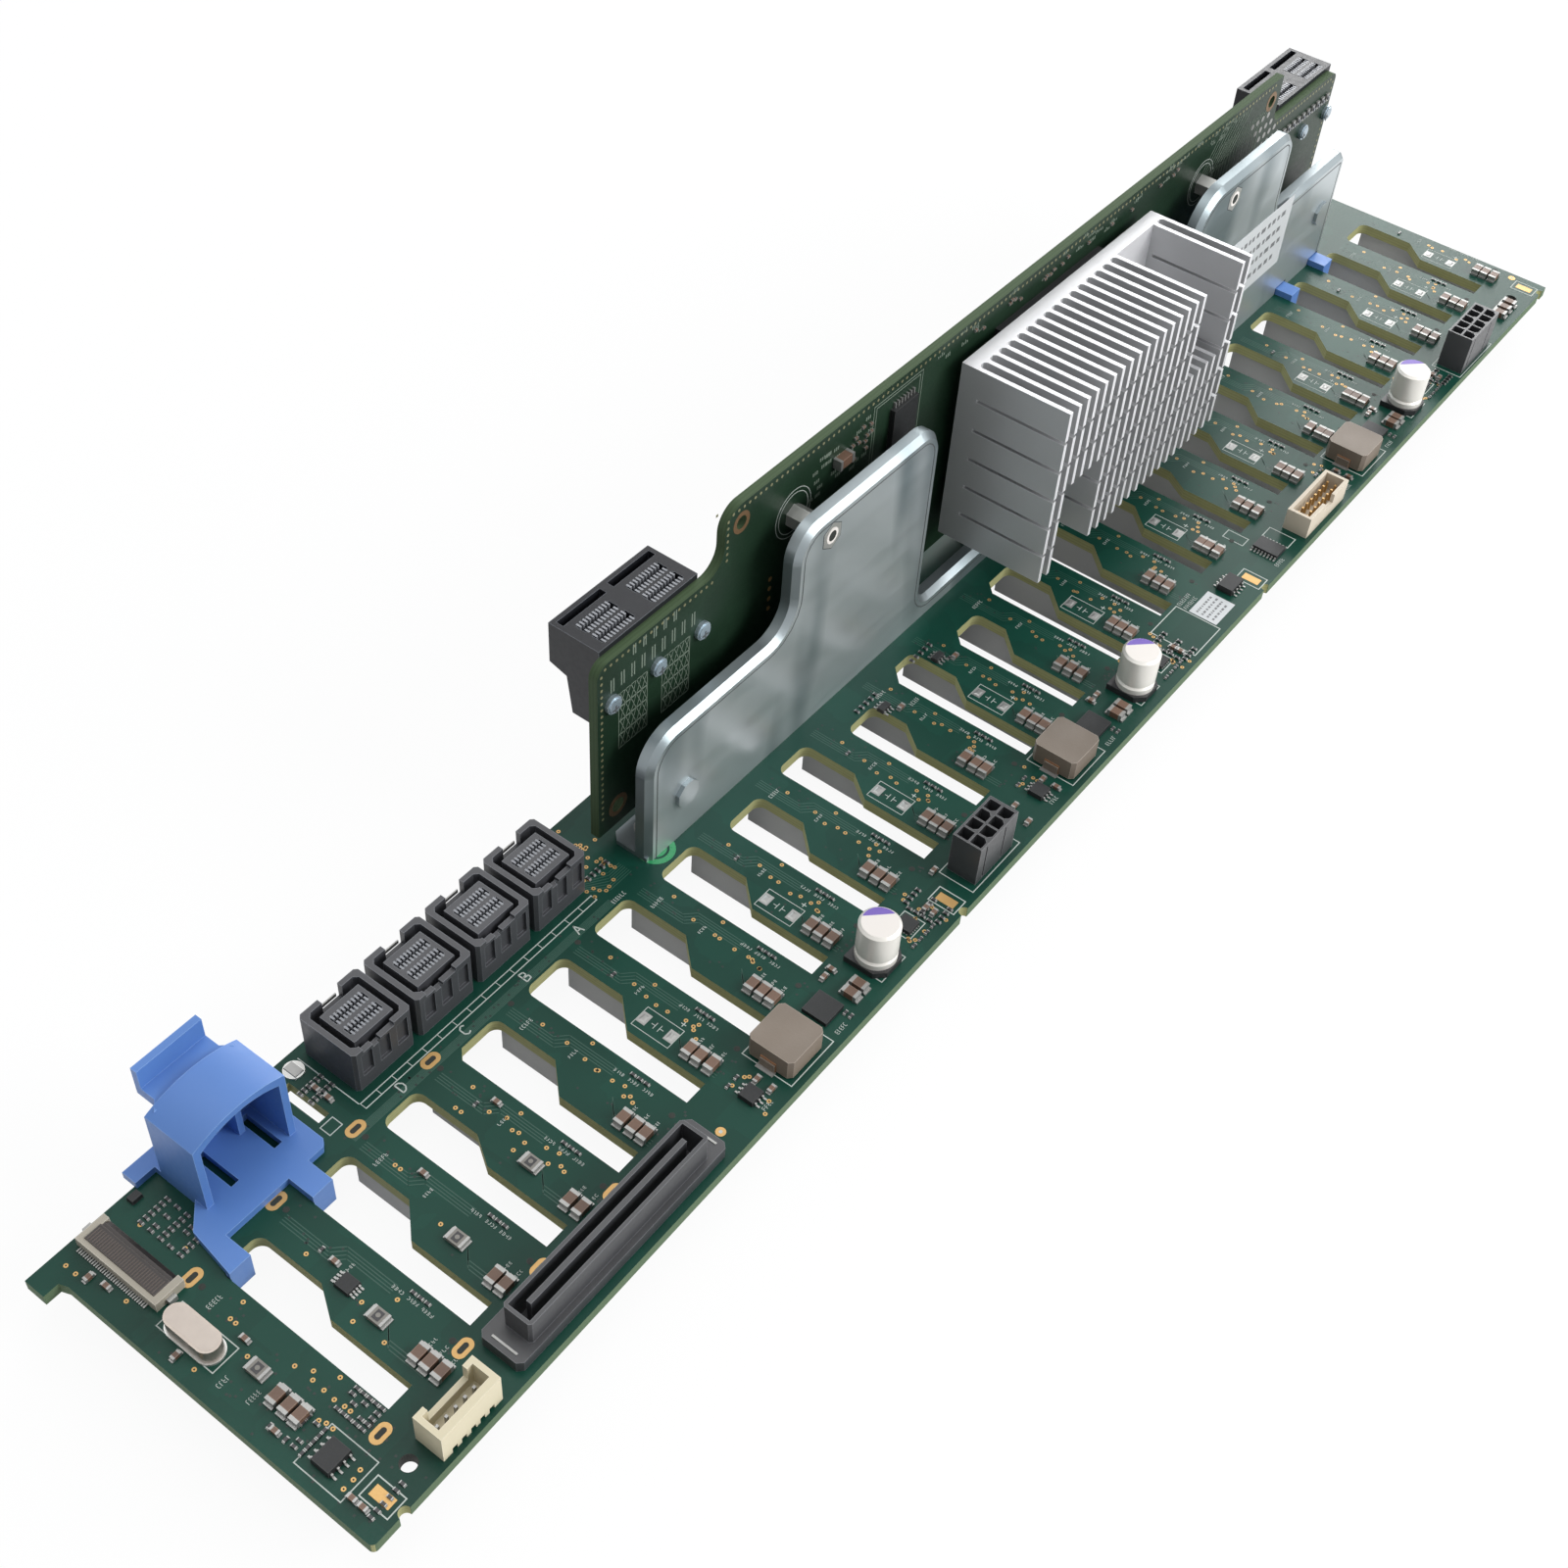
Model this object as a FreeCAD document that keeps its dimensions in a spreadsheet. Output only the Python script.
import FreeCAD, Part
import math
import os

import Sketcher
from FreeCAD import Vector

# Drive backplane board. Lengths are in millimetres.
# Pieces are drawn in board coordinates: X along the board from the first air slot,
# Y across it from the slots' front ends, Z up from the board's top face.
# Every piece then gets the same placement, which puts the origin under the middle.

os.makedirs("parts", exist_ok=True)
doc = FreeCAD.newDocument("drive_backplane")

SIZES = {
    # Main board
    "drive_pitch": 17.8,
    "drive_count": 24,
    "board_thick": 2.5,
    "near_rim": 17.0,
    "far_rim": 15.3,
    "front_rim": 13.2,
    "board_back": 58.8,
    "ear_reach": 3.5,
    "ear_start": 54.4,
    "stem_width": 5.0,
    "head_width": 10.2,
    "head_width_small": 8.5,
    "head_width_medium": 9.2,
    "jog_start": 17.5,
    "jog_end": 23.0,
    "slot_reach": 37.0,
    "slot_reach_07": 35.9,
    "slot_reach_08": 33.8,
    "slot_reach_09": 35.2,
    "slot_reach_10": 31.2,
    "slot_reach_11": 34.2,
    "slot_reach_12": 30.6,
    "slot_reach_13": 33.8,
    "slot_cut_04": 1.8,
    "slot_cut_11": 3.3,
    "slot_cut_12": 3.0,
    "slot_cut_13": 2.4,
    "slot_corner": 2.0,
    "slot_edge": 0.4,
    "guide_hole_radius": 1.5,
    "guide_hole_front": 8.3,
    "guide_hole_near": 4.65,
    "guide_hole_pitches": 22.5,
    "edge_notch_radius": 1.1,
    "notch_near": -10.4,
    "notch_second": 11.6,
    "notch_third": 5.1,
    "notch_far": 11.9,
    "vent_offset": 10.8,
    "vent_front": 44.8,
    "vent_length": 9.7,
    "vent_width": 2.5,
    # Drive connectors under the board
    "plug_offset": 13.1,
    "plug_width": 4.4,
    "plug_length": 36.0,
    "plug_height": 7.5,
    "plug_middle": 18.8,
    "plug_ear_length": 4.6,
    "plug_ear_height": 1.2,
    "plug_end_wall": 1.6,
    "plug_mouth": 2.2,
    "plug_bridge": 1.4,
    # Expander board and what carries it
    "expander_near": 14.9,
    "expander_far": 8.6,
    "expander_front": 48.1,
    "expander_thick": 2.0,
    "expander_lift": 3.6,
    "expander_low": 47.2,
    "expander_high": 59.6,
    "expander_step_near": 35.0,
    "expander_step_far": 34.0,
    "link_inset": 26.0,
    "link_length": 74.0,
    "link_depth": 7.4,
    "link_height": 11.0,
    # Sheet bracket
    "sheet": 1.0,
    "bracket_front": 39.0,
    "flange_depth": 3.3,
    "bend_bevel": 1.2,
    "bracket_near": 18.4,
    "bracket_far": 5.8,
    "bracket_low": 30.2,
    "bracket_high": 52.2,
    "bracket_sill": 4.6,
    "near_step": 6.8,
    "near_end": -0.2,
    "far_start": -5.6,
    "far_step": 3.8,
    "foot_length": 11.0,
    "foot_reach": 9.4,
    "standoff_radius": 2.5,
    "standoff_level": 46.8,
    "standoff_near": -0.6,
    "standoff_far": 11.0,
    "screw_head_radius": 1.9,
    "screw_head_height": 1.1,
    # Heat sink
    "sink_near": -2.8,
    "fin_pitch": 3.29,
    "fin_count": 23,
    "fin_thick": 1.05,
    "sink_base": 3.2,
    "fin_reach": 22.0,
    "sink_bottom": 11.1,
    "sink_height": 43.5,
    "saw_levels": 6,
    "saw_width": 0.75,
    "saw_depth": 20.8,
    "pocket_levels": 3,
    "chip_side": 40.0,
    "chip_thick": 2.6,
    # Port connectors
    "port_first": 8.3,
    "port_pitch": 14.95,
    "port_width": 13.6,
    "port_front": 43.9,
    "port_depth": 13.2,
    "port_height": 10.2,
    "port_wall": 1.1,
    "port_recess": 4.8,
    "port_block_width": 9.0,
    "port_block_depth": 8.2,
    "port_slot_width": 7.4,
    "port_slot_gap": 1.7,
    "dual_near": 17.7,
    "dual_far_margin": 0.1,
    "dual_length": 27.0,
    "dual_depth": 11.6,
    "dual_bottom": 29.5,
    "dual_top": 48.4,
    # Release handles
    "handle_front": 40.0,
    "handle_back": 62.0,
    "handle_plate": 1.6,
    "handle_far_back": 47.2,
    "handle_reach": 26.4,
    "handle_arm_width": 4.4,
    "handle_arm_front": 34.4,
    "handle_arm_drop": 2.0,
    "hook_clearance": 0.2,
    "handle_hood_near": 5.4,
    "handle_hood_width": 19.2,
    "handle_hood_front": 45.7,
    "handle_hood_depth": 11.0,
    "handle_hood_height": 17.6,
    "handle_hood_crown": 19.8,
    "handle_wall": 1.4,
    "handle_tongue_width": 13.4,
    "handle_lip_top": 22.8,
    # Front row parts
    "socket_near": -1.6,
    "socket_length": 51.2,
    "socket_front": 11.7,
    "socket_foot_depth": 8.8,
    "socket_foot_height": 2.6,
    "socket_shell_length": 43.5,
    "socket_shell_depth": 5.9,
    "socket_height": 8.2,
    "socket_wall": 0.7,
    "wafer_near": -1.2,
    "wafer_length": 12.8,
    "wafer_front": 12.2,
    "wafer_depth": 5.8,
    "wafer_height": 7.0,
    "power_cell": 3.0,
    "power_depth": 6.4,
    "power_height": 9.9,
    "power_small_near": 0.4,
    "power_small_front": 11.1,
    "power_small_cells": 4,
    "power_large_near": 0.45,
    "power_large_front": 12.35,
    "power_large_cells": 5,
    "box_near": 7.8,
    "box_front": 12.1,
    "box_length": 18.4,
    "box_depth": 5.9,
    "box_height": 5.4,
    "box_pin_pitch": 2.0,
    "box_pin_side": 0.5,
    "box_pin_height": 4.2,
    "can_radius": 4.0,
    "can_height": 10.4,
    "can_base_side": 8.4,
    "can_base_height": 1.4,
    "inductor_length": 9.8,
    "inductor_depth": 9.7,
    "inductor_height": 4.8,
    "supply_near": 1.3,
    "supply_middle": 4.1,
    "supply_far": 6.5,
    "supply_row": 6.2,
    "driver_offset": 11.0,
    "can_offset": 26.4,
    "can_set_back": 0.5,
    "driver_side": 5.4,
    "driver_height": 0.95,
    # Near end parts
    "ribbon_near": -11.3,
    "ribbon_front": 38.9,
    "ribbon_length": 18.6,
    "ribbon_depth": 2.8,
    "ribbon_height": 2.1,
    "latch_depth": 3.0,
    "crystal_x": -10.6,
    "crystal_y": 31.0,
    "crystal_length": 11.0,
    "crystal_width": 4.4,
    "crystal_height": 3.5,
}

# The air slot from which each place along the board is set out. Its size is the distance from there.
ANCHORS = {
    "expander_near": 6,
    "expander_far": 22,
    "bracket_near": 6,
    "bracket_far": 22,
    "near_step": 9,
    "near_end": 12,
    "far_start": 18,
    "far_step": 20,
    "standoff_near": 10,
    "standoff_far": 18,
    "sink_near": 13,
    "port_first": 3,
    "dual_near": 6,
    "socket_near": 2,
    "wafer_near": 1,
    "power_small_near": 9,
    "power_large_near": 21,
    "box_near": 16,
}

# Air slots with a narrower head than the rest, by number
HEADS = {
    1: "head_width_small",
    3: "head_width_small",
    9: "head_width_medium",
    10: "head_width_medium",
    11: "head_width_medium",
    16: "head_width_small",
    17: "head_width_medium",
}

sheet = doc.addObject("Spreadsheet::Sheet", "Sizes")
for row, (alias, value) in enumerate(SIZES.items(), start=1):
    sheet.set(f"A{row}", alias)
    sheet.set(f"B{row}", str(value))
    sheet.setAlias(f"B{row}", alias)
doc.recompute()


def size(alias):
    return float(sheet.get(alias))


def cell(expression):
    """Write an expression with the sheet's aliases, each marked with a leading $."""
    return expression.replace("$", "Sizes.")


# Places worked out from the driving sizes
slot_count = int(size("drive_count")) - 1
board_far = (slot_count - 1) * size("drive_pitch") + size("far_rim")
ear_edge = -size("near_rim") - size("ear_reach")
middle_x = (ear_edge + board_far) / 2
middle_y = (size("handle_back") - size("front_rim")) / 2
base_level = size("board_thick") + size("plug_height")

pieces = []


def seat(piece, label):
    """Give a piece its name and the placement that all pieces share."""
    piece.Label = label
    piece.Placement = FreeCAD.Placement(Vector(-middle_x, -middle_y, base_level), FreeCAD.Rotation())
    piece.setExpression("Placement.Base.z", cell("$board_thick + $plug_height"))
    pieces.append(piece)
    return piece


def new_body(label):
    return seat(doc.addObject("PartDesign::Body", label), label)


def plane_of(body, role):
    return next(item for item in body.Origin.OriginFeatures if item.Role == role)


def sketch_on(body, role, name, level):
    """A sketch on an origin plane of the body, moved along the plane's normal."""
    sketch = body.newObject("Sketcher::SketchObject", f"{body.Name}_{name}")
    sketch.AttachmentSupport = [(plane_of(body, role), "")]
    sketch.MapMode = "FlatFace"
    sketch.setExpression("AttachmentOffset.Base.z", cell(level))
    return sketch


def flat_sketch(body, name, level="0"):
    return sketch_on(body, "XY_Plane", name, level)


def upright_sketch(body, name, level="0"):
    """A sketch whose axes are X and Z. Its normal points to the front, so level is minus Y."""
    return sketch_on(body, "XZ_Plane", name, level)


def side_sketch(body, name, level="0"):
    """A sketch whose axes are Y and Z. Its normal points along X."""
    return sketch_on(body, "YZ_Plane", name, level)


def outline(sketch, corners):
    """Draw a closed outline through corners (x, y) or (x, y, radius)."""
    points = [Vector(corner[0], corner[1], 0) for corner in corners]
    radii = [corner[2] if len(corner) > 2 else 0.0 for corner in corners]
    count = len(points)
    starts = []
    ends = []
    arcs = []
    for index, point in enumerate(points):
        before = (points[index - 1] - point).normalize()
        after = (points[(index + 1) % count] - point).normalize()
        if radii[index] <= 0:
            starts.append(point)
            ends.append(point)
            arcs.append(None)
            continue
        half = before.getAngle(after) / 2
        reach = radii[index] / math.tan(half)
        first = point + before * reach
        last = point + after * reach
        centre = point + (before + after).normalize() * (radii[index] / math.sin(half))
        middle = centre + (point - centre).normalize() * radii[index]
        starts.append(first)
        ends.append(last)
        arcs.append(Part.Arc(first, middle, last))
    for index in range(count):
        if arcs[index]:
            sketch.addGeometry(arcs[index], False)
        following = starts[(index + 1) % count]
        if (following - ends[index]).Length > 1e-6:
            sketch.addGeometry(Part.LineSegment(ends[index], following), False)


def rectangle(sketch, left, low, width, height, radius=0.0):
    corners = [
        (left, low, radius),
        (left + width, low, radius),
        (left + width, low + height, radius),
        (left, low + height, radius),
    ]
    outline(sketch, corners)


def cut_corners(left, low, width, height, cut):
    """Corners of a rectangle whose own corners are cut off at 45 degrees."""
    right = left + width
    top = low + height
    return [
        (left + cut, low),
        (right - cut, low),
        (right, low + cut),
        (right, top - cut),
        (right - cut, top),
        (left + cut, top),
        (left, top - cut),
        (left, low + cut),
    ]


def circle(sketch, x, y, radius):
    sketch.addGeometry(Part.Circle(Vector(x, y, 0), Vector(0, 0, 1), radius), False)


def pad(body, sketch, length, reverse=False):
    feature = body.newObject("PartDesign::Pad", f"{sketch.Name}_pad")
    feature.Profile = sketch
    feature.setExpression("Length", cell(length))
    feature.Reversed = reverse
    sketch.Visibility = False
    return feature


def pocket(body, sketch, depth, reverse=False):
    """Cut down from a flat sketch or back from an upright one, or the other way in reverse."""
    feature = body.newObject("PartDesign::Pocket", f"{sketch.Name}_pocket")
    feature.Profile = sketch
    feature.setExpression("Length", cell(depth))
    feature.Reversed = reverse
    sketch.Visibility = False
    return feature


def row_of(body, feature, sketch, axis, spacing, count):
    """Repeat a feature along one axis of its sketch."""
    pattern = body.newObject("PartDesign::LinearPattern", f"{feature.Name}_row")
    pattern.Originals = [feature]
    pattern.Direction = (sketch, [axis])
    pattern.setExpression("Length", cell(f"({spacing}) * (({count}) - 1)"))
    pattern.setExpression("Occurrences", cell(count))
    body.Tip = pattern
    return pattern


def bevel(body, feature, edges, width):
    beveled = body.newObject("PartDesign::Chamfer", f"{feature.Name}_bevel")
    beveled.Base = (feature, edges)
    beveled.setExpression("Size", cell(width))
    body.Tip = beveled
    return beveled


def slot_datum(number):
    """X that the drive pitch gives for an air slot, counted from 1."""
    return (number - 1) * size("drive_pitch")


def slot_left(number):
    """X of the near edge of an air slot."""
    return slot_datum(number) - size("slot_edge")


def place(alias):
    """X of a piece that is set out from an air slot."""
    return slot_datum(ANCHORS[alias]) + size(alias)


def numbered(alias, number, default):
    """The size of one slot, where it has its own, or else the one that the slots share."""
    own = f"{alias}_{number:02d}"
    return size(own) if own in SIZES else default


def slot_corners(number):
    """A narrow stem at the front, a jog, and a wide head with rounded or cut back corners."""
    left = slot_left(number)
    head = size(HEADS.get(number, "head_width"))
    back = numbered("slot_reach", number, size("slot_reach"))
    cut = numbered("slot_cut", number, 0.0)
    corners = [
        (left, 0),
        (left + size("stem_width"), 0),
        (left + size("stem_width"), size("jog_start")),
        (left + head, size("jog_end")),
        (left + head, back, size("slot_corner")),
    ]
    if cut > 0:
        return corners + [(left + cut, back), (left, back - cut)]
    return corners + [(left, back, size("slot_corner"))]


def guide_hole_places():
    near = -size("guide_hole_near")
    far = near + size("guide_hole_pitches") * size("drive_pitch")
    return (near, far)


def edge_notch_places():
    """Half-round plated notches in the front edge, each beside a test pad."""
    return [slot_datum(slot) + size(alias) for slot, alias in (
        (1, "notch_near"), (8, "notch_second"), (15, "notch_third"), (23, "notch_far"))]


def make_main_board():
    body = new_body("main_board")
    front = -size("front_rim")
    near = -size("near_rim")
    back = size("board_back")
    plan = flat_sketch(body, "plan")
    corners = [
        (near, front, 1.0),
        (board_far, front),
        (board_far, back),
        (ear_edge, back),
        (ear_edge, size("ear_start")),
        (near - 0.6, size("ear_start")),
        (near, size("ear_start") - 1.6),
    ]
    outline(plan, corners)
    pad(body, plan, "$board_thick", reverse=True)
    slots = flat_sketch(body, "slots")
    for number in range(1, slot_count + 1):
        outline(slots, slot_corners(number))
    vent_left = slot_datum(2) + size("vent_offset")
    rectangle(slots, vent_left, size("vent_front"), size("vent_width"), size("vent_length"))
    pocket(body, slots, "$board_thick")
    holes = flat_sketch(body, "holes")
    for x in guide_hole_places():
        circle(holes, x, -size("guide_hole_front"), size("guide_hole_radius"))
    for x in edge_notch_places():
        circle(holes, x, front, size("edge_notch_radius"))
    pocket(body, holes, "$board_thick")


def make_drive_connector(index):
    """A drive receptacle under the board: two card slots with a bridge between, and low ears."""
    body = new_body(f"drive_connector_{index + 1:02d}")
    middle = (index - 1) * size("drive_pitch") + size("plug_offset")
    width = size("plug_width")
    length = size("plug_length")
    ear = size("plug_ear_length")
    front = size("plug_middle") - length / 2
    left = middle - width / 2
    plan = flat_sketch(body, "plan", "-$board_thick")
    rectangle(plan, left, front, width, length)
    pad(body, plan, "$plug_height", reverse=True)
    ears = flat_sketch(body, "ears", "-$board_thick")
    rectangle(ears, left + 0.6, front - ear, width - 1.2, length + 2 * ear)
    pad(body, ears, "$plug_ear_height", reverse=True)
    wall = size("plug_end_wall")
    open_width = size("plug_mouth")
    open_left = left + (width - open_width) / 2
    split = front + length * 0.62
    bridge = size("plug_bridge")
    mouth = flat_sketch(body, "mouth", "-$board_thick - $plug_height")
    rectangle(mouth, open_left, front + wall, open_width, split - front - wall)
    rectangle(mouth, open_left, split + bridge, open_width, front + length - wall - split - bridge)
    pocket(body, mouth, "$plug_height - 1.6", reverse=True)


def make_expander_board():
    body = new_body("expander_board")
    near = place("expander_near")
    far = place("expander_far")
    low = size("expander_low")
    high = size("expander_high")
    first = near + size("expander_step_near")
    last = far - size("expander_step_far")
    face = upright_sketch(body, "face", "-$expander_front")
    outline(face, [
        (near, size("expander_lift")),
        (far, size("expander_lift")),
        (far, low, 2.0),
        (last, low, 3.0),
        (last, high),
        (first, high, 5.0),
        (first, low, 5.0),
        (near, low, 3.0),
    ])
    pad(body, face, "$expander_thick", reverse=True)
    holes = upright_sketch(body, "holes", "-$expander_front")
    circle(holes, near + 5.4, size("expander_lift") + 5.0, 1.6)
    circle(holes, first + 4.6, high - 4.4, 1.4)
    circle(holes, last - 4.0, high - 5.0, 1.4)
    pocket(body, holes, "$expander_thick")


def bracket_corners(grow=0.0):
    """The bracket's face: two stepped panels joined by a low sill. Grow moves the outline in."""
    near = place("bracket_near") + grow
    far = place("bracket_far") - grow
    low = size("bracket_low") - grow
    high = size("bracket_high") - grow
    sill = size("bracket_sill") - grow
    bottom = -3.0 * grow
    return [
        (near, bottom),
        (far, bottom),
        (far, low, max(2.5 - grow, 0.8)),
        (place("far_step") - grow, low, 4.0 + grow),
        (place("far_step") - grow, high, 5.0 - grow),
        (place("far_start") + grow, high, 11.0 - grow),
        (place("far_start") + grow, sill, 4.0 + grow),
        (place("near_end") - grow, sill, 4.0 + grow),
        (place("near_end") - grow, high, 6.5 - grow),
        (place("near_step") + grow, high, 7.0 - grow),
        (place("near_step") + grow, low, 7.0 + grow),
        (near, low, 8.0 - grow),
    ]


def bracket_foot_places():
    """Near ends of the feet that lie on the main board behind the bracket."""
    near = place("bracket_near")
    far = slot_datum(slot_count - 2) - size("foot_length") - 1.8
    return (near, (near + far) / 2, far)


def handle_arm_places(number):
    """Near edges of a release handle's two arms, which lie along two neighbouring slots."""
    return (slot_datum(number) - 0.3, slot_datum(number + 1) - 0.3)


def make_bracket():
    body = new_body("shield_bracket")
    face = upright_sketch(body, "face", "-$bracket_front")
    outline(face, bracket_corners())
    tray = pad(body, face, "$flange_depth", reverse=True)
    doc.recompute()
    front = size("bracket_front")
    rim = []
    for number, edge in enumerate(tray.Shape.Edges, start=1):
        box = edge.BoundBox
        on_front = abs(box.YMin - front) < 1e-4 and abs(box.YMax - front) < 1e-4
        if on_front and box.ZMax > 0.01:
            upright_end = abs(box.XMax - box.XMin) < 1e-4 and box.ZMin < 0.01
            if not upright_end or box.ZMax > 1.0:
                rim.append(f"Edge{number}")
    bent = bevel(body, tray, rim, "$bend_bevel")
    doc.recompute()
    hollow = upright_sketch(body, "hollow", "-$bracket_front - $sheet")
    outline(hollow, bracket_corners(size("sheet")))
    pocket(body, hollow, "$flange_depth")
    feet = flat_sketch(body, "feet")
    for x in bracket_foot_places():
        outline(feet, [
            (x, front + size("sheet") / 2),
            (x + size("foot_length"), front + size("sheet") / 2),
            (x + size("foot_length"), front + size("foot_reach") - 1.6),
            (x + size("foot_length") - 1.6, front + size("foot_reach")),
            (x + 1.6, front + size("foot_reach")),
            (x, front + size("foot_reach") - 1.6),
        ])
    pad(body, feet, "$sheet")
    gates = upright_sketch(body, "gates", "-$bracket_front + 1")
    for x in handle_arm_places(slot_count - 2):
        rectangle(gates, x - 0.5, -1.0, size("handle_arm_width") + 1.0, size("handle_plate") + 1.4)
    pocket(body, gates, "$sheet + 2")
    seats = upright_sketch(body, "standoff_seats", "-$bracket_front + 1")
    for x in (place("standoff_near"), place("standoff_far")):
        outline(seats, polygon(x, size("standoff_level"), size("standoff_radius") - 0.6, 6))
    pocket(body, seats, "$sheet + 2")
    boss = upright_sketch(body, "boss", "-$bracket_front")
    for x, z in ((place("bracket_near") + 8.2, 8.4), (place("bracket_far") - 10.6, 13.4)):
        outline(boss, polygon(x + 2.3, z + 3.1, 3.1, 8))
    pad(body, boss, "0.9 * $sheet")
    return bent


def foot_hole_y():
    return size("bracket_front") + size("foot_reach") - 3.6


def polygon(x, y, radius, sides):
    """Corners of a regular polygon around a point."""
    step = 2 * math.pi / sides
    return [(x + radius * math.cos(step * (n + 0.5)), y + radius * math.sin(step * (n + 0.5)))
            for n in range(sides)]


def prism(corners, length):
    """A straight solid over a polygon of corners at level 0."""
    points = [Vector(x, y, 0) for x, y in corners]
    face = Part.Face(Part.makePolygon(points + points[:1]))
    return face.extrude(Vector(0, 0, length))


def make_screws(label, places, direction):
    """Screw heads as separate solids in one node, each with a narrower crown."""
    head = size("screw_head_height")
    radius = size("screw_head_radius")
    solids = []
    for place in places:
        disc = prism(polygon(0, 0, radius, 16), head * 0.7)
        crown = prism(polygon(0, 0, radius * 0.8, 16), head)
        solid = disc.fuse(crown)
        solid.Placement = FreeCAD.Placement(place, FreeCAD.Rotation(Vector(0, 0, 1), direction))
        solids.append(solid)
    feature = doc.addObject("Part::Feature", label)
    feature.Shape = Part.makeCompound(solids)
    return seat(feature, label)


def dual_far():
    """Near end of the far double port, whose far end lines up with the expander board's."""
    return place("expander_far") - size("dual_length") - size("dual_far_margin")


def port_screw_places():
    """X and Z of the screws that hold the two double port connectors, three for each."""
    level = size("dual_bottom") + 7.1
    step = size("dual_length") / 2 - 1.0
    places = []
    for start in (place("dual_near"), dual_far()):
        for index in range(3):
            places.append((start + 1.0 + index * step, level))
    return places


def make_port_screws():
    front = size("expander_front")
    places = [Vector(x, front, z) for x, z in port_screw_places()]
    make_screws("port_screws", places, Vector(0, -1, 0))


def make_foot_screws():
    places = []
    for x in bracket_foot_places():
        places.append(Vector(x + size("foot_length") / 2, foot_hole_y(), size("sheet")))
    make_screws("foot_screws", places, Vector(0, 0, 1))


def make_standoffs():
    """Six-sided spacers from the bracket to the expander board, clinched in the sheet."""
    back = size("bracket_front") + size("sheet")
    length = size("expander_front") - back
    spigot = size("sheet") * 0.9
    solids = []
    for x in (place("standoff_near"), place("standoff_far")):
        barrel = prism(polygon(0, 0, size("standoff_radius"), 6), length)
        stub = prism(polygon(0, 0, size("standoff_radius") - 0.62, 6), spigot)
        stub.translate(Vector(0, 0, -spigot))
        solid = barrel.fuse(stub)
        turn = FreeCAD.Rotation(Vector(1, 0, 0), Vector(0, 0, -1), Vector(0, 1, 0), "XZY")
        solid.Placement = FreeCAD.Placement(Vector(x, back, size("standoff_level")), turn)
        solids.append(solid)
    feature = doc.addObject("Part::Feature", "bracket_standoffs")
    feature.Shape = Part.makeCompound(solids)
    seat(feature, "bracket_standoffs")


def make_heat_sink():
    """An extruded sink: a base, thin fins with bevelled roots, and saw cuts across the fins."""
    body = new_body("heat_sink")
    near = place("sink_near")
    pitch = size("fin_pitch")
    count = int(size("fin_count"))
    thick = size("fin_thick")
    back = size("expander_front") - size("chip_thick")
    tips = back - size("sink_base") - size("fin_reach")
    length = pitch * (count - 1) + thick
    gap = pitch - thick
    block = flat_sketch(body, "block", "$sink_bottom")
    rectangle(block, near, tips, length, back - tips)
    pad(body, block, "$sink_height")
    gap_sketch = flat_sketch(body, "gap", "$sink_bottom + $sink_height")
    root = back - size("sink_base")
    left = near + thick
    bevel_width = 0.6
    outline(gap_sketch, [
        (left, tips - 1),
        (left + gap, tips - 1),
        (left + gap, root - bevel_width),
        (left + gap - bevel_width, root),
        (left + bevel_width, root),
        (left, root - bevel_width),
    ])
    first_gap = pocket(body, gap_sketch, "$sink_height")
    row_of(body, first_gap, gap_sketch, "H_Axis", "$fin_pitch", "$fin_count - 1")
    level = size("sink_height") / size("saw_levels")
    cut_depth = size("saw_depth")
    saw = side_sketch(body, "saw")
    saw_low = size("sink_bottom") + level - size("saw_width") / 2
    rectangle(saw, tips - 1, saw_low, cut_depth + 1, size("saw_width"))
    first_cut = body.newObject("PartDesign::Pocket", "heat_sink_saw_pocket")
    first_cut.Profile = saw
    first_cut.Type = "ThroughAll"
    first_cut.Reversed = True
    row_of(body, first_cut, saw, "V_Axis", "$sink_height / $saw_levels", "$saw_levels - 1")
    tip_level = "-$expander_front + $chip_thick + $sink_base + $fin_reach + 1"
    clear = upright_sketch(body, "pin_pockets", tip_level)
    deep = size("pocket_levels") * level
    top = size("sink_bottom") + size("sink_height")
    far_left = near + thick + (count - 7) * pitch
    rectangle(clear, far_left, top - deep, gap + 4 * pitch, deep + 1)
    near_left = near + thick + pitch
    rectangle(clear, near_left, size("sink_bottom") - 1, gap + 4 * pitch, deep + 1)
    pocket(body, clear, "$fin_reach + 1")
    return body


def make_expander_chip():
    body = new_body("expander_chip")
    side = size("chip_side")
    middle = place("sink_near") + size("fin_pitch") * (size("fin_count") - 1) / 2
    low = size("sink_bottom") + (size("sink_height") - side) / 2
    face = upright_sketch(body, "face", "-$expander_front")
    rectangle(face, middle - side / 2, low, side, side)
    pad(body, face, "$chip_thick")


def make_link_connector(label, near):
    """A right-angle connector between the expander board and the main board."""
    body = new_body(label)
    back = size("expander_front") + size("expander_thick")
    depth = size("link_depth")
    section = side_sketch(body, "section")
    section.setExpression("AttachmentOffset.Base.z", f"{near}")
    outline(section, [
        (back, 0),
        (back + depth, 0),
        (back + depth, 4.2),
        (back + 3.4, size("link_height")),
        (back, size("link_height")),
    ])
    pad(body, section, "$link_length")


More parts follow.
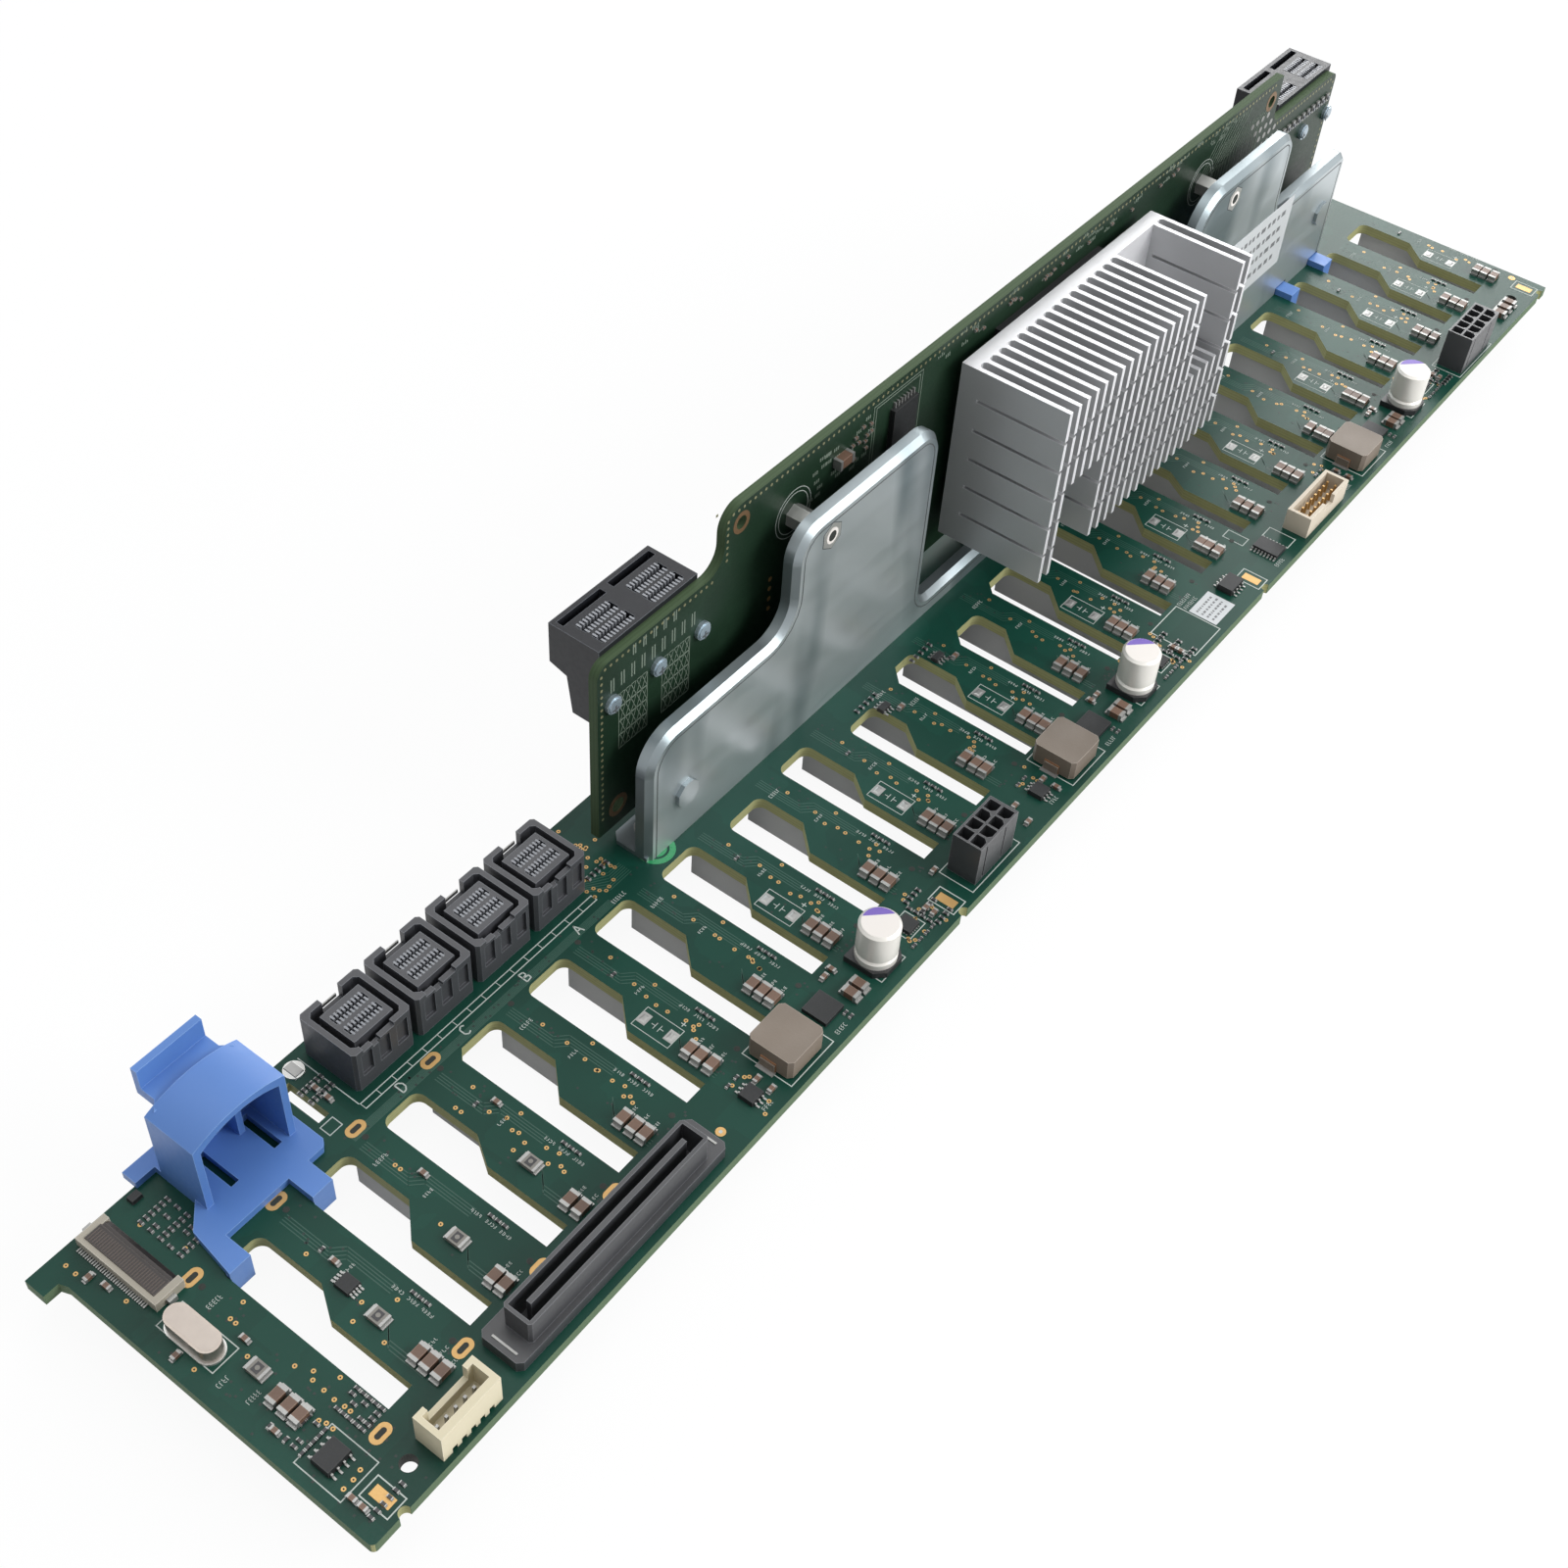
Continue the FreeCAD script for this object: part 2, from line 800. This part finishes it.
def port_mouth(body, left, front, top, recess):
    """The recess of one port, its block and the two card slots in the block."""
    wall = size("port_wall")
    width = size("port_width")
    depth = size("port_depth")
    block_width = size("port_block_width")
    block_depth = size("port_block_depth")
    slot = size("port_slot_gap")
    slot_width = size("port_slot_width")
    block_left = left + (width - block_width) / 2
    block_front = front + (depth - block_depth) / 2 - 0.4
    ring = flat_sketch(body, f"ring_{left:.0f}", top)
    outline(ring, cut_corners(left + wall, front + wall, width - 2 * wall, depth - 2 * wall, 0.8))
    rectangle(ring, block_left, block_front, block_width, block_depth)
    pocket(body, ring, recess)
    slots = flat_sketch(body, f"slots_{left:.0f}", top)
    slot_left_x = block_left + (block_width - slot_width) / 2
    third = (block_depth - 2 * slot) / 3
    for step in range(2):
        slot_front = block_front + third + step * (slot + third)
        rectangle(slots, slot_left_x, slot_front, slot_width, slot)
    pocket(body, slots, recess)


def make_port_connector(letter, index):
    """A vertical cable port on the main board, with a ribbed front wall."""
    body = new_body(f"port_connector_{letter}")
    width = size("port_width")
    front = size("port_front")
    left = place("port_first") + index * size("port_pitch") - width / 2
    plan = flat_sketch(body, "plan")
    outline(plan, cut_corners(left, front, width, size("port_depth"), 0.6))
    pad(body, plan, "$port_height")
    port_mouth(body, left, front, "$port_height", "$port_recess")
    recesses = upright_sketch(body, "recesses", "-$port_front")
    for step in range(3):
        rectangle(recesses, left + 1.6 + step * 4.1, 3.2, 2.5, 5.6)
    pocket(body, recesses, "0.6")
    steps = upright_sketch(body, "rim_steps", "-$port_front")
    high = size("port_height")
    outline(steps, [
        (left + 2.2, high - 0.8),
        (left + 4.4, high - 0.8),
        (left + 4.4, high - 1.6),
        (left + 6.2, high - 1.6),
        (left + 6.2, high - 0.8),
        (left + 9.4, high - 0.8),
        (left + 9.4, high + 1.0),
        (left + 2.2, high + 1.0),
    ])
    pocket(body, steps, "$port_wall")
    latch = upright_sketch(body, "latch_window", "-$port_front - $port_depth")
    rectangle(latch, left + 4.6, high - 3.4, 4.6, 5.0)
    pocket(body, latch, "$port_wall", reverse=True)


def make_dual_port(label, near):
    """A double right-angle cable port on the back of the expander board, its mouths upward."""
    body = new_body(label)
    back = size("expander_front") + size("expander_thick")
    depth = size("dual_depth")
    low = size("dual_bottom")
    high = size("dual_top")
    section = side_sketch(body, "section")
    section.setExpression("AttachmentOffset.Base.z", f"{near}")
    outline(section, [
        (back, low),
        (back + 6.4, low),
        (back + 7.6, low + 8.4),
        (back + depth, low + 9.6),
        (back + depth, high),
        (back, high),
    ])
    pad(body, section, "$dual_length")
    half = size("dual_length") / 2
    for step in range(2):
        left = near + step * half
        mouth = flat_sketch(body, f"mouth_{step}", "$dual_top")
        rectangle(mouth, left + 1.0, back + depth - 2.6, half - 2.0, 1.6)
        for gap in range(2):
            rectangle(mouth, left + 2.4, back + 1.3 + gap * 3.7, half - 4.8, 2.2)
        pocket(body, mouth, "$port_recess")


def make_handle_base(label, number, outline_behind):
    """A moulded plate that lies on the board, with two arms that hook down into two slots."""
    body = new_body(label)
    front = size("handle_front")
    arm = size("handle_arm_width")
    arm_front = size("handle_arm_front")
    near_arm, far_arm = handle_arm_places(number)
    plan = flat_sketch(body, "plan")
    outline(plan, [
        (near_arm, arm_front),
        (near_arm + arm, arm_front),
        (near_arm + arm, front),
        (far_arm, front),
        (far_arm, arm_front),
        (far_arm + arm, arm_front),
        (far_arm + arm, front),
    ] + outline_behind)
    pad(body, plan, "$handle_plate")
    hooks = flat_sketch(body, "hooks")
    cut = size("slot_corner") * 0.6
    hook_back = size("slot_reach") - size("hook_clearance")
    for slot, arm_near in ((number, near_arm), (number + 1, far_arm)):
        hook_near = slot_left(slot) + size("hook_clearance")
        outline(hooks, [
            (hook_near, arm_front),
            (arm_near + arm, arm_front),
            (arm_near + arm, hook_back),
            (hook_near + cut, hook_back),
            (hook_near, hook_back - cut),
        ])
    pad(body, hooks, "$board_thick + $handle_arm_drop", reverse=True)
    return body


def arch(sketch, near, far, low, shoulder, crown):
    """An upright opening's outline: straight sides and a shallow arc on top."""
    near_foot = Vector(near, low, 0)
    far_foot = Vector(far, low, 0)
    near_top = Vector(near, shoulder, 0)
    far_top = Vector(far, shoulder, 0)
    sketch.addGeometry(Part.LineSegment(near_top, near_foot), False)
    sketch.addGeometry(Part.LineSegment(near_foot, far_foot), False)
    sketch.addGeometry(Part.LineSegment(far_foot, far_top), False)
    sketch.addGeometry(Part.Arc(far_top, Vector((near + far) / 2, crown, 0), near_top), False)


def make_near_handle():
    """The near handle: its plate carries a crowned finger hood with a lip on a tongue behind."""
    number = 1
    origin = slot_datum(number)
    front = size("handle_front")
    back = size("handle_back")
    far_side = origin + size("handle_reach")
    left = origin + size("handle_hood_near")
    right = left + size("handle_hood_width")
    hood_front = size("handle_hood_front")
    hood_back = hood_front + size("handle_hood_depth")
    body = make_handle_base("release_handle_near", number, [
        (far_side - 1.2, front),
        (far_side, front + 1.2),
        (far_side, hood_front + 3.0),
        (right, hood_front + 6.0),
        (right, hood_back),
        (right - 3.0, size("board_back") + 2.6),
        (origin + 1.4, size("board_back") + 2.6),
        (origin + 1.4, size("board_back") - 0.6),
        (left, size("board_back") - 0.6),
        (left, front + 8.6),
        (origin + 1.2, front + 4.4),
    ])
    wall = size("handle_wall")
    plate = size("handle_plate")
    shoulder = size("handle_hood_height")
    crown = size("handle_hood_crown")
    hood = upright_sketch(body, "hood", "-$handle_hood_front")
    arch(hood, left, right, plate - 0.4, shoulder, crown)
    pad(body, hood, "$handle_hood_depth", reverse=True)
    tongue_left = (left + right - size("handle_tongue_width")) / 2
    tongue = flat_sketch(body, "tongue", "$handle_hood_height - 1.6")
    outline(tongue, [
        (tongue_left - 1.6, hood_back - 1.0),
        (tongue_left + size("handle_tongue_width") + 1.6, hood_back - 1.0),
        (tongue_left + size("handle_tongue_width"), hood_back + 0.8),
        (tongue_left + size("handle_tongue_width"), back),
        (tongue_left, back),
        (tongue_left, hood_back + 0.8),
    ])
    pad(body, tongue, "2.4")
    lip = flat_sketch(body, "lip", "$handle_hood_height - 1.6")
    rectangle(lip, tongue_left, back - 1.4, size("handle_tongue_width"), 1.4)
    pad(body, lip, "$handle_lip_top - $handle_hood_height + 1.6")
    room = upright_sketch(body, "room", "-$handle_hood_front")
    arch(room, left + wall, right - wall, plate, shoulder - wall, crown - wall)
    pocket(body, room, "$handle_hood_depth - $handle_wall")
    slits = flat_sketch(body, "slits", "$handle_plate")
    for x in (left + 5.2, left + 14.6):
        rectangle(slits, x, hood_front + 0.2, 1.7, 8.6)
    pocket(body, slits, "$handle_plate")
    ribs = flat_sketch(body, "ribs", "$handle_plate")
    for x in (left + 3.4, left + 12.8):
        rectangle(ribs, x, hood_front + 6.4, 1.2, size("handle_hood_depth") - 7.0)
    pad(body, ribs, "$handle_hood_height - $handle_plate - 4.4")


def make_far_handle():
    """The far handle stays low, so that it passes under the bracket and before the expander."""
    number = slot_count - 2
    origin = slot_datum(number)
    back = size("handle_far_back")
    far_side = place("bracket_far") - size("sheet") - size("hook_clearance")
    make_handle_base("release_handle_far", number, [
        (far_side, size("handle_front")),
        (far_side, back),
        (origin - 0.3, back),
    ])


def make_riser_socket():
    """A long socket with a foot at each end, a deep slot and a contact tongue."""
    body = new_body("riser_socket")
    near = place("socket_near")
    front = -size("socket_front")
    foot = flat_sketch(body, "foot")
    outline(foot, cut_corners(near, front, size("socket_length"), size("socket_foot_depth"), 0.9))
    pad(body, foot, "$socket_foot_height")
    shell_length = size("socket_shell_length")
    shell_depth = size("socket_shell_depth")
    shell_left = near + (size("socket_length") - shell_length) / 2
    shell_front = front + 1.2
    shell = flat_sketch(body, "shell", "$socket_foot_height")
    outline(shell, cut_corners(shell_left, shell_front, shell_length, shell_depth, 0.5))
    pad(body, shell, "$socket_height - $socket_foot_height")
    wall = size("socket_wall")
    inner = shell_depth - 2 * wall
    slot = flat_sketch(body, "slot", "$socket_height")
    rectangle(slot, shell_left + wall, shell_front + wall, shell_length - 2 * wall, inner)
    tongue = 1.0
    tongue_front = shell_front + wall + (inner - tongue) / 2
    rectangle(slot, shell_left + wall + 2.2, tongue_front, shell_length - 2 * wall - 4.4, tongue)
    pocket(body, slot, "$socket_height - 1.2")


def make_wafer_header():
    """A five-way header: an open trough with a cut-away back wall and notches at the front foot."""
    body = new_body("wafer_header")
    near = place("wafer_near")
    front = -size("wafer_front")
    length = size("wafer_length")
    depth = size("wafer_depth")
    height = size("wafer_height")
    plan = flat_sketch(body, "plan")
    rectangle(plan, near, front, length, depth)
    pad(body, plan, "$wafer_height")
    trough = flat_sketch(body, "trough", "$wafer_height")
    rectangle(trough, near + 1.0, front + 1.4, length - 2.0, depth - 2.4)
    pocket(body, trough, "$wafer_height - 1.4")
    window = upright_sketch(body, "window", "$wafer_front - $wafer_depth - 1")
    rectangle(window, near + 2.2, height - 3.2, length - 4.4, 4.0)
    pocket(body, window, "$wafer_depth - 2.4", reverse=True)
    notches = upright_sketch(body, "notches", "$wafer_front")
    step = (length - 2.8) / 5
    for index in range(5):
        rectangle(notches, near + 1.9 + index * step, -1.0, step * 0.55, 2.2)
    pocket(body, notches, "0.9")


def make_power_header(label, near, front_gap, cells):
    """A shrouded power header with two rows of square cells, most with one clipped front corner."""
    body = new_body(label)
    cell_size = size("power_cell")
    front = -size(front_gap)
    start = place(near)
    length = cell_size * size(cells) + 0.65
    depth = size("power_depth")
    plan = flat_sketch(body, "plan")
    rectangle(plan, start, front, length, depth)
    pad(body, plan, "$power_height")
    mouths = flat_sketch(body, "mouths", "$power_height")
    opening = cell_size - 0.45
    clip = 0.75
    for row in range(2):
        for column in range(int(size(cells))):
            x = start + 0.4 + column * cell_size
            y = front + 0.4 + row * cell_size
            if row == 1 and column == 0:
                rectangle(mouths, x, y, opening, opening)
            elif column % 2 == 0:
                outline(mouths, [
                    (x, y),
                    (x + opening - clip, y),
                    (x + opening, y + clip),
                    (x + opening, y + opening),
                    (x, y + opening),
                ])
            else:
                outline(mouths, [
                    (x + clip, y),
                    (x + opening, y),
                    (x + opening, y + opening),
                    (x, y + opening),
                    (x, y + clip),
                ])
    pocket(body, mouths, "$power_height - 2")
    flutes = upright_sketch(body, "flutes", f"${front_gap}")
    for x in (start + 2.0, start + length - 4.4):
        rectangle(flutes, x, 0.6, 0.5, size("power_height") - 1.4)
    pocket(body, flutes, "0.35")


def make_box_header():
    """A low open shroud for a two-row header, notched in the front wall."""
    body = new_body("box_header")
    near = place("box_near")
    front = -size("box_front")
    length = size("box_length")
    depth = size("box_depth")
    plan = flat_sketch(body, "plan")
    rectangle(plan, near, front, length, depth)
    pad(body, plan, "$box_height")
    well = flat_sketch(body, "well", "$box_height")
    rectangle(well, near + 0.8, front + 0.8, length - 1.6, depth - 1.6)
    pocket(body, well, "$box_height - 1.2")
    notch = upright_sketch(body, "notch", "$box_front")
    rectangle(notch, near + length / 2 - 2.2, size("box_height") - 2.2, 4.4, 3.0)
    pocket(body, notch, "0.8")
    bores = flat_sketch(body, "bores")
    side = size("box_pin_side")
    for x, y in box_pin_places():
        rectangle(bores, x - side / 2, y - side / 2, side, side)
    pocket(body, bores, "1.2", reverse=True)


def box_pin_places():
    pitch = size("box_pin_pitch")
    middle_pin_x = place("box_near") + size("box_length") / 2
    middle_pin_y = -size("box_front") + size("box_depth") / 2
    places = []
    for column in range(8):
        for row in range(2):
            x = middle_pin_x + (column - 3.5) * pitch
            y = middle_pin_y + (row - 0.5) * pitch
            places.append((x, y))
    return places


def make_box_pins():
    """The header's square pins, as separate solids pressed through the shroud's floor."""
    side = size("box_pin_side")
    tall = size("box_pin_height")
    solids = []
    for x, y in box_pin_places():
        shaft = Part.makeBox(side, side, tall, Vector(x - side / 2, y - side / 2, 0))
        solids.append(shaft)
    feature = doc.addObject("Part::Feature", "box_header_pins")
    feature.Shape = Part.makeCompound(solids)
    seat(feature, "box_header_pins")


def make_can_capacitor(number, x, y):
    """A surface-mount can: a square base with two cut corners and a rolled metal can."""
    body = new_body(f"can_capacitor_{number}")
    half = size("can_base_side") / 2
    cut = 1.9
    base = flat_sketch(body, "base")
    outline(base, [
        (x - half, y - half + cut),
        (x - half + cut, y - half),
        (x + half - cut, y - half),
        (x + half, y - half + cut),
        (x + half, y + half),
        (x - half, y + half),
    ])
    pad(body, base, "$can_base_height")
    radius = size("can_radius")
    low = size("can_base_height")
    high = size("can_height")
    profile = upright_sketch(body, "profile")
    profile.setExpression("AttachmentOffset.Base.z", f"{-y}")
    profile.setExpression("AttachmentOffset.Base.x", f"{x}")
    outline(profile, [
        (0, low),
        (radius, low),
        (radius, low + 1.2),
        (radius - 0.35, low + 1.7),
        (radius, low + 2.2),
        (radius, high - 0.5),
        (radius - 0.5, high),
        (0, high),
    ])
    can = body.newObject("PartDesign::Revolution", f"{body.Name}_can")
    can.Profile = profile
    can.ReferenceAxis = (profile, ["V_Axis"])
    can.Angle = 360
    profile.Visibility = False


def make_inductor(number, x, y):
    """A moulded power inductor with rounded corners and two folded leads at its ends."""
    body = new_body(f"inductor_{number}")
    length = size("inductor_length")
    depth = size("inductor_depth")
    plan = flat_sketch(body, "plan", "0.3")
    outline(plan, cut_corners(x - length / 2, y - depth / 2, length, depth, 0.8))
    pad(body, plan, "$inductor_height - 0.3")
    leads = upright_sketch(body, "leads")
    leads.setExpression("AttachmentOffset.Base.z", f"{-(y - 1.6)}")
    rectangle(leads, x - length / 2 - 0.45, 0, length + 0.9, 2.0)
    pad(body, leads, "3.2", reverse=True)


def make_driver_chip(number, x, y):
    body = new_body(f"driver_chip_{number}")
    side = size("driver_side")
    plan = flat_sketch(body, "plan")
    rectangle(plan, x - side / 2, y - side / 2, side, side)
    pad(body, plan, "$driver_height")


def make_ribbon_connector():
    """A flat-cable connector: a pale body with end blocks and a turning latch bar."""
    body = new_body("ribbon_connector")
    near = size("ribbon_near")
    front = size("ribbon_front")
    length = size("ribbon_length")
    depth = size("ribbon_depth")
    latch = size("latch_depth")
    plan = flat_sketch(body, "plan")
    outline(plan, [
        (near, front),
        (near + depth + latch, front),
        (near + depth + latch, front + 1.3),
        (near + depth, front + 1.3),
        (near + depth, front + length - 1.3),
        (near + depth + latch, front + length - 1.3),
        (near + depth + latch, front + length),
        (near, front + length),
    ])
    pad(body, plan, "$ribbon_height")
    bar = new_body("ribbon_latch")
    section = side_section_along_y(bar, near + depth, latch)
    pad(bar, section, "$ribbon_length - 2.6", reverse=True)


def side_section_along_y(body, left, width):
    """A low bar's section in X and Z, drawn where the bar starts and extruded toward the back."""
    start = size("ribbon_front") + 1.3
    section = upright_sketch(body, "section")
    section.setExpression("AttachmentOffset.Base.z", f"{-start}")
    top = size("ribbon_height") - 0.1
    outline(section, [
        (left, 0),
        (left + width, 0),
        (left + width, top - 0.9),
        (left + width - 0.9, top),
        (left, top),
    ])
    return section


def make_crystal():
    """A low metal crystal can with round ends."""
    body = new_body("crystal_can")
    x = size("crystal_x")
    y = size("crystal_y")
    width = size("crystal_width")
    length = size("crystal_length")
    plan = flat_sketch(body, "plan")
    rectangle(plan, x - width / 2, y - length / 2, width, length, width / 2 - 0.05)
    pad(body, plan, "$crystal_height")


make_main_board()
for index in range(int(size("drive_count"))):
    make_drive_connector(index)
make_expander_board()
make_bracket()
make_standoffs()
make_port_screws()
make_foot_screws()
make_heat_sink()
make_expander_chip()
make_link_connector("link_connector_near", place("expander_near") + size("link_inset"))
link_far_end = place("expander_far") - size("link_inset")
make_link_connector("link_connector_far", link_far_end - size("link_length"))
for index, letter in enumerate("dcba"):
    make_port_connector(letter, index)
make_dual_port("dual_port_near", place("dual_near"))
make_dual_port("dual_port_far", dual_far())
make_near_handle()
make_far_handle()
make_riser_socket()
make_wafer_header()
make_power_header("power_header_small", "power_small_near", "power_small_front", "power_small_cells")
make_power_header("power_header_large", "power_large_near", "power_large_front", "power_large_cells")
make_box_header()
make_box_pins()
supplies = ((6, "supply_near"), (11, "supply_middle"), (18, "supply_far"))
for index, (slot, alias) in enumerate(supplies, start=1):
    x = slot_datum(slot) + size(alias)
    make_inductor(index, x, -size("supply_row"))
    make_driver_chip(index, x + size("driver_offset"), -size("supply_row"))
    make_can_capacitor(index, x + size("can_offset"), -size("supply_row") - size("can_set_back"))
make_ribbon_connector()
make_crystal()

doc.recompute()

faults = []
for item in doc.Objects:
    if "Invalid" in item.State or "Error" in item.State:
        faults.append(f"{item.Label}: {item.State}")
for piece in pieces:
    if piece.Shape.isNull() or not piece.Shape.isValid():
        faults.append(f"{piece.Label}: shape")
if faults:
    raise RuntimeError("; ".join(faults))

for piece in pieces:
    piece.Shape.exportStep(f"parts/{piece.Label}.step")
